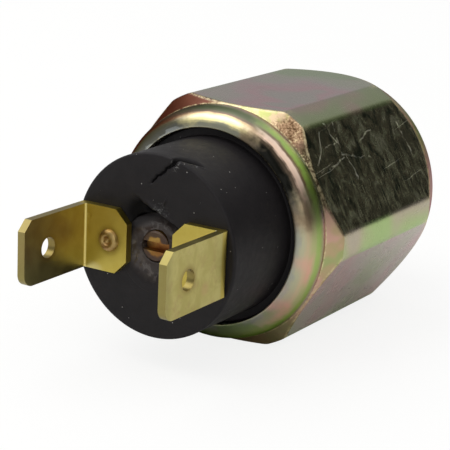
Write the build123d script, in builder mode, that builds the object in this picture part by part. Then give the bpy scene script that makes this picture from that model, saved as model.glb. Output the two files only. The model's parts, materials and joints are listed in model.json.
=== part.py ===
from build123d import *
import os
from math import cos, radians, sin, tan

# Adjustable diaphragm pressure switch, millimetres.
# The switch lies on one hexagon flat. Its axis is the Y axis: the pressure stud
# points to +Y and the terminals point to -Y. The origin is the centre of the
# sealing seat. A "height" is the distance from the seat towards the terminals,
# so a height h is at y = -h.

# ---- driving dimensions: body ----
across_flats = 24.0
corner_radius = 13.19            # the hexagon's corners are turned to this radius
seat_radius = 11.6
rear_step_radius = 11.72
rear_step_height = 0.92
rear_cone_height = 4.09          # the rear cone meets the turned corners here
front_corner_height = 23.08      # the front chamfer starts here
crimp_crease = (11.85, 24.35)    # (radius, height) where the crimped rim begins
crimp_crown = (11.24, 26.08)     # middle of the rolled rim
crimp_edge = (9.86, 27.02)       # inner edge of the rolled rim
crimp_edge_thickness = 0.92
upper_bore_radius = 10.6
upper_bore_height = 17.2
lower_bore_radius = 9.8
floor_height = 5.0
chamber_radius = 7.5
chamber_depth = 1.5

# ---- driving dimensions: stud, M10 x 1 ----
stud_radius = 5.0
stud_length = 9.5
port_radius = 1.5
port_countersink = 0.5
thread_pitch = 1.0
thread_depth = 0.6134 * thread_pitch
thread_turns = 7
undercut_length = 1.4
undercut_radius = 4.3
tip_chamfer = 0.7
root_relief_radius = 5.3         # shallow recess of the seat round the stud's root
root_relief_depth = 0.4

# ---- driving dimensions: insulating head ----
terminal_clocking = 2.07         # degrees, the head's turn against the hexagon
flange_radius = 10.55
flange_height = 18.0
shoulder_start = (10.55, 24.4)
shoulder_end = (9.8, 26.05)
boss_radius = 8.98
face_height = 36.2
face_rounding = 0.35
head_cavity_radius = 7.4
ceiling_height = 29.0
recess_half_width = 3.3
recess_length = 8.0
recess_floor = 33.7

# ---- driving dimensions: terminals, 6.3 x 0.8 tabs ----
tab_width = 6.3
tab_thickness = 0.8
tab_outer_x = 8.18
tab_tip_height = 46.2
tab_foot_end_x = 2.58
tab_tip_chamfer = 1.0            # upper corner of the blade's tip
tab_tip_rounding = 1.2           # lower corner of the blade's tip
tab_foot_chamfer = 1.3
tab_hole_radius = 1.0
tab_hole_height = 42.7
tab_bend_radius = 0.4
rivet_x = 4.6
rivet_shank_radius = 0.9
rivet_bore_radius = 0.45
rivet_hole_radius = 0.95
rivet_head_radius = 1.12
rivet_head_thickness = 0.45
rivet_head_rounding = 0.2
rivet_clinch_radius = 1.2
rivet_clinch_thickness = 0.5

# ---- driving dimensions: contacts ----
strip_thickness = 0.6
strip_width = 3.2
strip_length = 7.0
strip_corner_radius = 0.6
tip_y = 2.3
tip_radius = 1.0
tip_thickness = 1.0
contact_gap = 1.0
bridge_thickness = 0.6
bridge_outer_radius = 6.6

# ---- driving dimensions: diaphragm stack and plunger ----
diaphragm_radius = 9.7
diaphragm_thickness = 0.8
clamp_inner_radius = 7.9
guide_height = 8.0
guide_plate_thickness = 1.2
guide_hub_radius = 3.6
guide_hub_height = 12.5
vent_circle_radius = 6.2
vent_radius = 0.8
vent_count = 4
running_clearance = 0.05
sleeve_inner_radius = 8.5
seal_inner_radius = 9.85
thrust_radius = 6.5
thrust_thickness = 0.7
thrust_collar_width = 1.0
thrust_collar_height = 0.4
stem_radius = 2.0
cup_outer_radius = 3.2
cup_inner_radius = 2.5
cup_bottom_height = 13.8
cup_floor_height = 15.0
cup_top_height = 27.2
bridge_flange_radius = 4.4
bridge_flange_thickness = 1.0
bridge_flange_slope = 0.8
clip_thickness = 0.4
clip_radius = 3.9
clip_gap = 0.9

# ---- driving dimensions: set spring and adjusting screw, M3 x 0.5 ----
spring_wire_radius = 0.3
spring_mean_radius = 2.05
spring_coils = 8
spring_top_height = 26.4
spring_seat_radius = 2.4
spring_seat_thickness = 1.0
spring_spigot_radius = 1.3
spring_spigot_length = 1.2
screw_radius = 1.5
screw_top_height = 36.0
screw_pitch = 0.5
screw_thread_depth = 0.3
screw_slot_width = 0.9
screw_slot_depth = 0.9
bush_radius = 2.6
resin_height = 35.2

# ---- broken edges of turned and pressed pieces ----
edge_break = 0.3
fine_edge_break = 0.15

# ---- heights that follow from the driving dimensions ----
diaphragm_top = floor_height + diaphragm_thickness
strip_bottom = ceiling_height - strip_thickness
tip_bottom = strip_bottom - tip_thickness
bridge_top = tip_bottom - contact_gap
bridge_bottom = bridge_top - bridge_thickness


def axial_plane(height, clocking=0.0):
    """Plane across the switch at a height, facing the terminals, with its y towards +Z."""
    across = (cos(radians(clocking)), 0, sin(radians(clocking)))
    return Plane(origin=(0, -height, 0), x_dir=across, z_dir=(0, -1, 0))


def head_plane(height):
    """Plane across the insulating head, clocked with the terminals."""
    return axial_plane(height, terminal_clocking)


def turned(points):
    """Turn a closed section, given as (radius, height) points, about the switch's axis."""
    with BuildSketch(Plane.XY) as section:
        with BuildLine():
            Polyline(*[(radius, -height) for radius, height in points], close=True)
        make_face()
    revolve(section.sketch, axis=Axis.Y)


def tube(inner_radius, outer_radius, bottom, top):
    """Plain ring between two heights on the switch's axis."""
    turned([(inner_radius, bottom), (outer_radius, bottom), (outer_radius, top), (inner_radius, top)])


def external_thread(start, pitch, depth, radius, turns):
    """Section points of a 60 degree thread, cut as separate rings, from its start downwards."""
    crest = pitch / 8
    flank = depth * tan(radians(30))
    root = pitch - crest - 2 * flank
    points = []
    for ring in range(turns):
        top = start - ring * pitch
        points.append((radius, top))
        points.append((radius, top - crest))
        points.append((radius - depth, top - crest - flank))
        points.append((radius - depth, top - crest - flank - root))
    return points


def save(part, name):
    """Label a finished piece and write it to its own file."""
    part.label = name
    export_step(part, f"parts/{name}.step")


os.makedirs("parts", exist_ok=True)

# ---- hexagonal body with the threaded stud, bored and crimped over the head ----
thread_start = -undercut_length - (stud_radius - undercut_radius)
thread_outline = external_thread(thread_start, thread_pitch, thread_depth, stud_radius, thread_turns)
stud_outline = [
    (port_radius, -stud_length + port_countersink),
    (port_radius + port_countersink, -stud_length),
    (stud_radius - tip_chamfer, -stud_length),
    (stud_radius, -stud_length + tip_chamfer),
    *reversed(thread_outline[:-2]),
    (undercut_radius, -undercut_length),
    (undercut_radius, root_relief_depth),
    (root_relief_radius, root_relief_depth),
    (root_relief_radius, 0),
]

with BuildPart() as hex_body:
    with BuildSketch(Plane.XY):
        with BuildLine():
            Polyline(
                *[(radius, -height) for radius, height in stud_outline],
                (seat_radius, 0),
                (rear_step_radius, -rear_step_height),
                (corner_radius, -rear_cone_height),
                (corner_radius, -front_corner_height),
                (crimp_crease[0], -crimp_crease[1]),
            )
            ThreePointArc(
                (crimp_crease[0], -crimp_crease[1]),
                (crimp_crown[0], -crimp_crown[1]),
                (crimp_edge[0], -crimp_edge[1]),
            )
            Polyline(
                (crimp_edge[0], -crimp_edge[1]),
                (crimp_edge[0], -crimp_edge[1] + crimp_edge_thickness),
                (upper_bore_radius, -shoulder_start[1]),
                (upper_bore_radius, -upper_bore_height),
                (lower_bore_radius, -upper_bore_height),
                (lower_bore_radius, -floor_height),
                (chamber_radius, -floor_height),
                (chamber_radius, -floor_height + chamber_depth),
                (port_radius, -floor_height + chamber_depth),
                (port_radius, stud_length - port_countersink),
            )
        make_face()
    revolve(axis=Axis.Y)
    with BuildSketch(axial_plane(-stud_length)):
        RegularPolygon(radius=across_flats / 2, side_count=6, major_radius=False)
    extrude(amount=stud_length + tab_tip_height, mode=Mode.INTERSECT)
save(hex_body.part, "hex_body")

# ---- diaphragm stack ----
with BuildPart() as diaphragm:
    with BuildSketch(axial_plane(floor_height)):
        Circle(diaphragm_radius)
    extrude(amount=diaphragm_thickness)
save(diaphragm.part, "diaphragm")

with BuildPart() as clamp_ring:
    tube(clamp_inner_radius, diaphragm_radius, diaphragm_top, guide_height)
    inner_edges = clamp_ring.edges().filter_by(GeomType.CIRCLE).sort_by(SortBy.RADIUS)[:2]
    chamfer(inner_edges, edge_break)
save(clamp_ring.part, "clamp_ring")

guide_plate_top = guide_height + guide_plate_thickness
with BuildPart() as plunger_guide:
    turned([
        (stem_radius + running_clearance, guide_height),
        (diaphragm_radius, guide_height),
        (diaphragm_radius, guide_plate_top),
        (guide_hub_radius + 2 * edge_break, guide_plate_top),
        (guide_hub_radius, guide_plate_top + 2 * edge_break),
        (guide_hub_radius, guide_hub_height),
        (stem_radius + running_clearance, guide_hub_height),
    ])
    # vent holes let the air behind the diaphragm move
    with BuildSketch(axial_plane(guide_height)):
        with PolarLocations(vent_circle_radius, vent_count, start_angle=45):
            Circle(vent_radius)
    extrude(amount=guide_plate_thickness, mode=Mode.SUBTRACT)
save(plunger_guide.part, "plunger_guide")

with BuildPart() as spacer_sleeve:
    tube(sleeve_inner_radius, diaphragm_radius, guide_plate_top, flange_height)
    chamfer(spacer_sleeve.edges().filter_by(GeomType.CIRCLE), edge_break)
save(spacer_sleeve.part, "spacer_sleeve")

with BuildPart() as head_seal:
    tube(seal_inner_radius, flange_radius, upper_bore_height, flange_height)
save(head_seal.part, "head_seal")

# ---- plunger and the pieces that travel with it ----
thrust_top = diaphragm_top + thrust_thickness
with BuildPart() as thrust_plate:
    with BuildSketch(axial_plane(diaphragm_top)):
        Circle(thrust_radius)
    extrude(amount=thrust_thickness)
    fillet(thrust_plate.edges().group_by(Axis.Y)[-1], edge_break)
    with BuildSketch(axial_plane(thrust_top)):
        Circle(stem_radius + thrust_collar_width)
        Circle(stem_radius, mode=Mode.SUBTRACT)
    extrude(amount=thrust_collar_height)
save(thrust_plate.part, "thrust_plate")

with BuildPart() as plunger:
    turned([
        (0, thrust_top),
        (stem_radius, thrust_top),
        (stem_radius, cup_bottom_height),
        (cup_outer_radius - edge_break, cup_bottom_height),
        (cup_outer_radius, cup_bottom_height + edge_break),
        (cup_outer_radius, bridge_bottom - bridge_flange_thickness - bridge_flange_slope),
        (bridge_flange_radius, bridge_bottom - bridge_flange_thickness),
        (bridge_flange_radius, bridge_bottom),
        (cup_outer_radius, bridge_bottom),
        (cup_outer_radius, cup_top_height),
        (cup_inner_radius, cup_top_height),
        (cup_inner_radius, cup_floor_height),
        (0, cup_floor_height),
    ])
save(plunger.part, "plunger")

with BuildPart() as contact_bridge:
    tube(cup_outer_radius, bridge_outer_radius, bridge_bottom, bridge_top)
    outer_edges = contact_bridge.edges().filter_by(GeomType.CIRCLE).sort_by(SortBy.RADIUS)[-2:]
    fillet(outer_edges, fine_edge_break)
save(contact_bridge.part, "contact_bridge")

with BuildPart() as bridge_clip:
    with BuildSketch(axial_plane(bridge_top)):
        Circle(clip_radius)
        Circle(cup_outer_radius, mode=Mode.SUBTRACT)
        # the clip's open gap
        with Locations((clip_radius, 0)):
            Rectangle(2 * (clip_radius - cup_outer_radius) + clip_gap, clip_gap, mode=Mode.SUBTRACT)
    extrude(amount=clip_thickness)
save(bridge_clip.part, "bridge_clip")

# ---- set spring, its seat and the adjusting screw ----
spring_length = spring_top_height - cup_floor_height
spring_run = spring_length - spring_wire_radius
with BuildPart() as set_spring:
    with BuildLine() as spring_path:
        Helix(
            pitch=spring_run / spring_coils,
            height=spring_run,
            radius=spring_mean_radius,
            center=(0, -cup_floor_height - spring_wire_radius / 2, 0),
            direction=(0, -1, 0),
        )
    with BuildSketch(Plane(origin=spring_path.line @ 0, z_dir=spring_path.line % 0)):
        Circle(spring_wire_radius)
    sweep(path=spring_path.line, is_frenet=True)
    # both ends are ground flat
    with BuildSketch(axial_plane(cup_floor_height)):
        Circle(spring_mean_radius + 2 * spring_wire_radius)
    extrude(amount=spring_length, mode=Mode.INTERSECT)
save(set_spring.part, "set_spring")

spring_seat_top = spring_top_height + spring_seat_thickness
with BuildPart() as spring_seat:
    turned([
        (0, spring_top_height - spring_spigot_length),
        (spring_spigot_radius - edge_break, spring_top_height - spring_spigot_length),
        (spring_spigot_radius, spring_top_height - spring_spigot_length + edge_break),
        (spring_spigot_radius, spring_top_height),
        (spring_seat_radius, spring_top_height),
        (spring_seat_radius, spring_seat_top),
        (0, spring_seat_top),
    ])
save(spring_seat.part, "spring_seat")

screw_root = screw_radius - screw_thread_depth
screw_thread_top = screw_top_height - 2 * screw_slot_depth
screw_turns = int((screw_thread_top - spring_seat_top) / screw_pitch)
screw_outline = external_thread(screw_thread_top, screw_pitch, screw_thread_depth, screw_radius, screw_turns)
with BuildPart() as adjusting_screw:
    turned([
        (0, spring_seat_top),
        (screw_root, spring_seat_top),
        *reversed(screw_outline[:-2]),
        (screw_radius, screw_top_height - fine_edge_break),
        (screw_radius - fine_edge_break, screw_top_height),
        (0, screw_top_height),
    ])
    with BuildSketch(head_plane(screw_top_height - screw_slot_depth)):
        Rectangle(4 * screw_radius, screw_slot_width)
    extrude(amount=2 * screw_slot_depth, mode=Mode.SUBTRACT)
save(adjusting_screw.part, "adjusting_screw")

with BuildPart() as threaded_bush:
    tube(screw_radius + running_clearance, bush_radius, ceiling_height, recess_floor)
save(threaded_bush.part, "threaded_bush")

# ---- insulating head ----
with BuildPart() as terminal_head:
    turned([
        (0, ceiling_height),
        (head_cavity_radius, ceiling_height),
        (head_cavity_radius, flange_height),
        (flange_radius, flange_height),
        shoulder_start,
        shoulder_end,
        (boss_radius, shoulder_end[1]),
        (boss_radius, face_height),
        (0, face_height),
    ])
    fillet(
        terminal_head.edges().filter_by(GeomType.CIRCLE).group_by(Axis.Y)[0],
        face_rounding,
    )
    # pit around the adjusting screw, longer across the line of the terminals
    with BuildSketch(head_plane(recess_floor)):
        SlotOverall(recess_length, 2 * recess_half_width, rotation=90)
    extrude(amount=face_height - recess_floor, mode=Mode.SUBTRACT)
    with BuildSketch(head_plane(ceiling_height)):
        Circle(bush_radius)
        with Locations((rivet_x, 0), (-rivet_x, 0)):
            Circle(rivet_hole_radius)
    extrude(amount=face_height - ceiling_height, mode=Mode.SUBTRACT)
save(terminal_head.part, "terminal_head")

with BuildPart() as sealing_resin:
    with BuildSketch(head_plane(recess_floor)):
        SlotOverall(recess_length, 2 * recess_half_width, rotation=90)
        Circle(screw_radius + running_clearance, mode=Mode.SUBTRACT)
    extrude(amount=resin_height - recess_floor)
save(sealing_resin.part, "sealing_resin")

# ---- terminals, their rivets and the fixed contacts, one set on each side ----
foot_top = face_height + tab_thickness
for side, sign in (("right", 1), ("left", -1)):
    # an L of flat strip: the foot lies on the head, the blade stands at its edge
    outer_face = Plane(
        origin=head_plane(0).from_local_coords((sign * tab_outer_x, 0, 0)),
        x_dir=head_plane(0).y_dir,
        z_dir=head_plane(0).x_dir,
    )
    with BuildPart() as terminal:
        with BuildSketch(head_plane(face_height)) as foot:
            with Locations((sign * (tab_foot_end_x + tab_outer_x) / 2, 0)):
                Rectangle(tab_outer_x - tab_foot_end_x, tab_width)
            chamfer(foot.vertices().sort_by(Axis.X, reverse=sign < 0)[:2], tab_foot_chamfer)
            with Locations((sign * rivet_x, 0)):
                Circle(rivet_hole_radius, mode=Mode.SUBTRACT)
        extrude(amount=tab_thickness)
        with BuildSketch(outer_face) as blade:
            with Locations((0, (face_height + tab_tip_height) / 2)):
                Rectangle(tab_width, tab_tip_height - face_height)
            chamfer(blade.vertices().group_by(Axis.Y)[-1].sort_by(Axis.X)[-1], tab_tip_chamfer)
            fillet(blade.vertices().group_by(Axis.Y)[-1].sort_by(Axis.X)[0], tab_tip_rounding)
            with Locations((0, tab_hole_height)):
                Circle(tab_hole_radius, mode=Mode.SUBTRACT)
        extrude(amount=-sign * tab_thickness)
        bend = outer_face.from_local_coords((0, face_height, 0))
        fillet(terminal.edges().sort_by_distance(bend)[0], tab_bend_radius)
    save(terminal.part, f"terminal_{side}")

    # hollow rivet, clinched over the contact strip inside the head
    with BuildPart() as rivet:
        with BuildSketch(head_plane(foot_top)):
            with Locations((sign * rivet_x, 0)):
                Circle(rivet_head_radius)
        extrude(amount=rivet_head_thickness)
        fillet(rivet.edges().group_by(Axis.Y)[0], rivet_head_rounding)
        with BuildSketch(head_plane(strip_bottom)):
            with Locations((sign * rivet_x, 0)):
                Circle(rivet_shank_radius)
        extrude(amount=foot_top - strip_bottom)
        with BuildSketch(head_plane(strip_bottom - rivet_clinch_thickness)):
            with Locations((sign * rivet_x, 0)):
                Circle(rivet_clinch_radius)
        extrude(amount=rivet_clinch_thickness)
        with BuildSketch(head_plane(strip_bottom - rivet_clinch_thickness)):
            with Locations((sign * rivet_x, 0)):
                Circle(rivet_bore_radius)
        extrude(amount=foot_top - strip_bottom + 2 * rivet_clinch_thickness, mode=Mode.SUBTRACT)
    save(rivet.part, f"rivet_{side}")

    with BuildPart() as contact_strip:
        with BuildSketch(head_plane(strip_bottom)):
            with Locations((sign * rivet_x, 0)):
                RectangleRounded(strip_width, strip_length, strip_corner_radius)
                Circle(rivet_hole_radius, mode=Mode.SUBTRACT)
        extrude(amount=strip_thickness)
    save(contact_strip.part, f"contact_strip_{side}")

    with BuildPart() as contact_tip:
        with BuildSketch(head_plane(tip_bottom)):
            with Locations((sign * rivet_x, sign * tip_y)):
                Circle(tip_radius)
        extrude(amount=tip_thickness)
        fillet(contact_tip.edges().group_by(Axis.Y)[-1], edge_break)
    save(contact_tip.part, f"contact_tip_{side}")
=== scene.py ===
import json
import math

import bmesh
import bpy
import numpy as np
from mathutils import Matrix, Vector


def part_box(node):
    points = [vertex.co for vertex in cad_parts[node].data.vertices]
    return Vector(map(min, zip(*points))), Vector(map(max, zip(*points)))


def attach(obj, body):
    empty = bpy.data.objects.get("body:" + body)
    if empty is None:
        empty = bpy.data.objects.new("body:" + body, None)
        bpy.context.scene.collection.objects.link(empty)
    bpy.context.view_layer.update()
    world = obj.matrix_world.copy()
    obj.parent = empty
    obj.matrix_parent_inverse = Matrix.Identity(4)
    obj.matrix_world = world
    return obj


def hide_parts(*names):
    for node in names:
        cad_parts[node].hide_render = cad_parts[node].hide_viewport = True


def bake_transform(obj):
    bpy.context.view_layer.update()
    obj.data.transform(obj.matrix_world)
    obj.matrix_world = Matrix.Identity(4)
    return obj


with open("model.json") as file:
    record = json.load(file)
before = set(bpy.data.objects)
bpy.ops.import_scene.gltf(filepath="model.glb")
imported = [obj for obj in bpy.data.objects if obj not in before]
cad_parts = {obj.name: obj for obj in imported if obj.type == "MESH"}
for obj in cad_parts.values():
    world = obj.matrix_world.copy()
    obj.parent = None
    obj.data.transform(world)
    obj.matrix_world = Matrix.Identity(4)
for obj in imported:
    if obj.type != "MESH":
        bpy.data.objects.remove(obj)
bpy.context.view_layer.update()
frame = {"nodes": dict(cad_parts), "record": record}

MM = 0.001
FULL_TURN = 2 * math.pi

# ---- The switch's own measures, in millimetres ----
# A height runs from the sealing seat (y = 0) towards the terminals, so a height h is at y = -h.


def corners_mm(node):
    """A CAD node's lowest and highest corners, in millimetres."""
    low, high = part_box(node)
    return np.array(low) / MM, np.array(high) / MM


body_low, body_high = corners_mm("hex_body")
head_low, head_high = corners_mm("terminal_head")
blade_middle = sum(corners_mm("terminal_right")) / 2
resin_low, resin_high = corners_mm("sealing_resin")

# from the CAD's boxes
half_flats = body_high[2]
corner_radius = body_high[0]
stud_length = body_high[1]
rim_height = -body_low[1]
face_height = -head_low[1]
flange_height = -head_high[1]
flange_radius = head_high[0]
resin_level = -resin_low[1]
pit_floor = -resin_high[1]
clocking = math.atan2(blade_middle[2], blade_middle[0])

# body; a pair is (radius, height)
seat_radius = 11.6
rear_step = (11.72, 0.92)
rear_cone_height = 4.09
front_corner_height = 23.08
crimp_crease = (11.85, 24.35)
crimp_edge_radius = 9.86
crimp_thickness = 0.92
upper_bore_radius, upper_bore_height = 10.6, 17.2
lower_bore_radius, floor_height = 9.8, 5.0
chamber_radius, chamber_floor = 7.5, 3.5
core_radius = 2.0  # the stud closes this bore
relief_radius, relief_depth = 5.3, 0.4

# stud
thread_radius, thread_pitch, thread_depth = 5.0, 1.0, 0.6134
undercut_radius, undercut_end, thread_start = 4.3, 1.4, 2.1
port_radius = 1.5
tip_chamfer, port_chamfer = 0.7, 0.5

# head
shoulder_height, neck = 24.4, (9.8, 26.05)
boss_radius = 8.98
cavity_radius, ceiling_height = 7.4, 29.0
bush_hole_radius = 2.6
pit_radius, pit_offset = 3.3, 0.45


def turned_place(radius, height, angle):
    """Points in metres at a radius, a height and an angle from +X towards +Z."""
    return np.stack(
        [radius * np.cos(angle) * MM, -height * MM, radius * np.sin(angle) * MM], axis=-1
    )


# ---- Mesh helpers ----


def make_mesh(name, points, faces, smooth=True):
    """A mesh object from points in metres and faces as index tuples."""
    mesh = bpy.data.meshes.new(name)
    mesh.from_pydata([tuple(p) for p in points], [], faces)
    mesh.validate()
    mesh.update()
    if smooth:
        mesh.polygons.foreach_set("use_smooth", [True] * len(mesh.polygons))
    piece = bpy.data.objects.new(name, mesh)
    bpy.context.scene.collection.objects.link(piece)
    return piece


def angles(segments):
    """Evenly spaced angles round the circle."""
    return np.arange(segments) * FULL_TURN / segments


def ring_faces(rows, segments, closed):
    """Quads between neighbouring rings of points, and from the last ring to the first if closed."""
    index = np.arange(rows * segments).reshape(rows, segments)
    if closed:
        index = np.vstack([index, index[:1]])
    a = index[:-1]
    b = np.roll(a, -1, axis=1)
    c = np.roll(index[1:], -1, axis=1)
    d = index[1:]
    return np.stack([a, d, c, b], axis=-1).reshape(-1, 4)


def turned_mesh(name, radius, height, angle, centre=0.0, closed=True):
    """A smooth mesh from rings of points, its faces looking outwards."""
    points = turned_place(radius, height, angle) + centre
    rows, segments, _ = points.shape
    faces = ring_faces(rows, segments, closed)
    points = points.reshape(-1, 3)
    a, b, c, d = (points[faces[:, k]] for k in range(4))
    volume = np.sum(a * (np.cross(b, c) + np.cross(c, d)))
    if volume < 0:
        faces = faces[:, ::-1]
    return make_mesh(name, points, faces.tolist())


def rounded(corners, radii, steps=4):
    """A closed (radius, height) outline with rounded corners; a zero radius leaves one sharp."""
    points = []
    count = len(corners)
    for i, (corner, size) in enumerate(zip(corners, radii)):
        here = np.array(corner, float)
        if size == 0:
            points.append(here)
            continue
        before = np.array(corners[i - 1], float) - here
        after = np.array(corners[(i + 1) % count], float) - here
        room = min(np.linalg.norm(before), np.linalg.norm(after)) * 0.49
        before /= np.linalg.norm(before)
        after /= np.linalg.norm(after)
        half = math.acos(np.clip(before @ after, -1, 1)) / 2
        reach = min(size / math.tan(half), room)
        start, end = here + before * reach, here + after * reach
        for t in np.linspace(0, 1, steps + 1):
            points.append((1 - t) ** 2 * start + 2 * t * (1 - t) * here + t * t * end)
    return points


def spread(outline, step, closed=True):
    """The same outline with no two neighbours further apart than step(midpoint)."""
    dense = []
    ends = outline[1:] + (outline[:1] if closed else [])
    for start, end in zip(outline, ends):
        length = np.linalg.norm(np.subtract(end, start))
        pieces = max(1, math.ceil(length / step(np.add(start, end) / 2)))
        for k in range(pieces):
            dense.append(np.add(start, np.subtract(end, start) * k / pieces))
    if not closed:
        dense.append(np.array(outline[-1], float))
    return np.array(dense)


def soft_min(a, b, width):
    """The lesser of two values with a rounded changeover, and how near it is to that."""
    near = np.clip(width - np.abs(a - b), 0, None) / width
    return np.minimum(a, b) - near * near * width / 4, near


def soft_step(low, high, value):
    """0 below low, 1 above high, smooth between."""
    t = np.clip((value - low) / (high - low), 0, 1)
    return t * t * (3 - 2 * t)


def bell(value, width):
    """1 at zero, falling smoothly to nothing over a few widths."""
    return np.exp(-((value / width) ** 2))


def add_attribute(piece, name, values):
    """Store one number per point for the material to read."""
    attribute = piece.data.attributes.new(name, "FLOAT", "POINT")
    attribute.data.foreach_set("value", np.asarray(values, np.float32).ravel())


# ---- Body: hexagon, crimped rim and bore ----


def crimped_rim(steps=14):
    """The rolled rim's outside, from the crease to its inner edge, as a quarter-turn curve."""
    start = np.array(crimp_crease)
    end = np.array([crimp_edge_radius, rim_height])
    crown = np.array([start[0] - 0.12, end[1] - 0.17])
    t = np.linspace(0, 1, steps)[:, None]
    return list((1 - t) ** 2 * start + 2 * t * (1 - t) * crown + t * t * end)


def build_body():
    """The hexagonal body without its stud, as one closed turned mesh cut by six flats."""
    rim = crimped_rim()
    corners = [
        (relief_radius, 0.0), (seat_radius, 0.0), rear_step,
        (corner_radius, rear_cone_height), (corner_radius, front_corner_height),
        *rim, (crimp_edge_radius + 0.02, rim_height - crimp_thickness),
        (upper_bore_radius, shoulder_height), (upper_bore_radius, upper_bore_height),
        (lower_bore_radius, upper_bore_height), (lower_bore_radius, floor_height),
        (chamber_radius, floor_height), (chamber_radius, chamber_floor),
        (core_radius, chamber_floor), (core_radius, relief_depth),
        (relief_radius, relief_depth),
    ]
    edge_rounding, bore_rounding = 0.16, 0.1
    radii = [0.1, 0.25, 0.3, 0.35, 0.2, 0.12, *[0] * (len(rim) - 2)]
    radii += [edge_rounding] * 2 + [bore_rounding] * 9
    outline = rounded(corners, radii)

    def step(point):
        radius, height = point
        if radius > 11.5 and (0.8 < height < 4.6 or 22.7 < height < 24.7):
            return 0.06
        if radius > 9.7 and height > 24.3:
            return 0.12
        return 1.6

    rows = spread(outline, step)
    angle = angles(960)
    sixth, corner_softness = math.pi / 3, 0.22
    from_flat = (angle + sixth / 2 - math.pi / 2) % sixth - sixth / 2
    flat_radius = half_flats / np.cos(from_flat)
    radius, near = soft_min(rows[:, :1], flat_radius, corner_softness)
    height = np.broadcast_to(rows[:, 1:], radius.shape)

    # how near each point is to an edge that is painted bright, partly for worn metal and partly as
    # a painted edge highlight
    margin, crease_width, lip_width, lip_share = 0.1, 0.16, 0.2, 0.7
    at_front = rows[:, 1:] > front_corner_height - margin
    at_rear = rows[:, 1:] < rear_cone_height + margin
    near = np.where((rows[:, :1] > half_flats - 0.5) & (at_front | at_rear), near, 0)
    crease = np.hypot(rows[:, 0] - crimp_crease[0], rows[:, 1] - crimp_crease[1])
    edge = np.maximum(near, np.clip(1 - crease / crease_width, 0, 1)[:, None])
    lip = np.hypot(rows[:, 0] - crimp_edge_radius, rows[:, 1] - rim_height)
    edge = np.maximum(edge, lip_share * np.clip(1 - lip / lip_width, 0, 1)[:, None])
    piece = turned_mesh("hex_body_shell", radius, height, angle)
    add_attribute(piece, "edge", edge)
    return piece


def build_stud():
    """The threaded stud with a real helical M10 x 1 thread, its undercut and the pressure port."""
    tip = -stud_length
    outline = rounded(
        [
            (port_radius, chamber_floor), (port_radius, tip + port_chamfer),
            (port_radius + port_chamfer, tip), (thread_radius - tip_chamfer, tip),
            (thread_radius, tip + tip_chamfer), (thread_radius, -thread_start),
            (undercut_radius, -undercut_end), (undercut_radius, relief_depth),
            (undercut_radius, chamber_floor),
        ],
        [0, 0.05, 0.05, 0.05, 0, 0, 0.2, 0, 0],
    )
    outside_radius, threaded_from = 4.35, -1.5

    def step(point):
        return 0.05 if point[0] > outside_radius and point[1] < threaded_from else 1.0

    rows = spread(outline, step)
    angle = angles(192)
    crest = thread_pitch / 8
    flank = thread_depth * math.tan(math.radians(30))
    height = np.broadcast_to(rows[:, 1:], (len(rows), len(angle)))
    along = (height / thread_pitch + angle / FULL_TURN) % 1.0 * thread_pitch
    from_crest = np.abs(along - thread_pitch / 2) - crest / 2
    groove = thread_depth * np.clip(from_crest / flank, 0, 1)
    fade = soft_step(-2.0, -2.6, height)
    threaded = np.minimum(rows[:, :1], thread_radius - groove * fade)
    outside = (rows[:, :1] > outside_radius) & (height < threaded_from)
    radius = np.where(outside, threaded, rows[:, :1])
    return turned_mesh("hex_body_stud", radius, height, angle)


# ---- Insulating head, with the worn pit round the adjusting screw ----


def head_axes(radius, angle):
    """Places across the head: x along the line of the terminals, y across it, upwards."""
    return radius * np.cos(angle - clocking), radius * np.sin(angle - clocking)


def wobble(angle, seed, amplitudes):
    """A smooth closed curve round the circle, from a few waves with random phases."""
    phases = np.random.default_rng(seed).uniform(0, FULL_TURN, len(amplitudes))
    total = np.zeros_like(angle)
    for n, (size, phase) in enumerate(zip(amplitudes, phases), start=1):
        total += size * np.cos(n * angle + phase)
    return total


def along_line(x, y, start, end):
    """Share of the way along a line, and the distance to its left."""
    direction = np.subtract(end, start)
    length = np.hypot(*direction)
    unit = direction / length
    share = ((x - start[0]) * unit[0] + (y - start[1]) * unit[1]) / length
    return share, (y - start[1]) * unit[0] - (x - start[0]) * unit[1]


def groove_share(x, y):
    """Share of the full depth of the jagged groove from the pit to the boss's edge."""
    along, side = along_line(x, y, (-0.65, 6.1), (1.73, 8.2))
    jagged = 0.05 * np.sin(14 * along) + 0.03 * np.sin(31 * along)
    width = 0.09 + 0.08 * along
    return soft_step(-0.08, 0.12, along) * bell(side + jagged, width)


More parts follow.
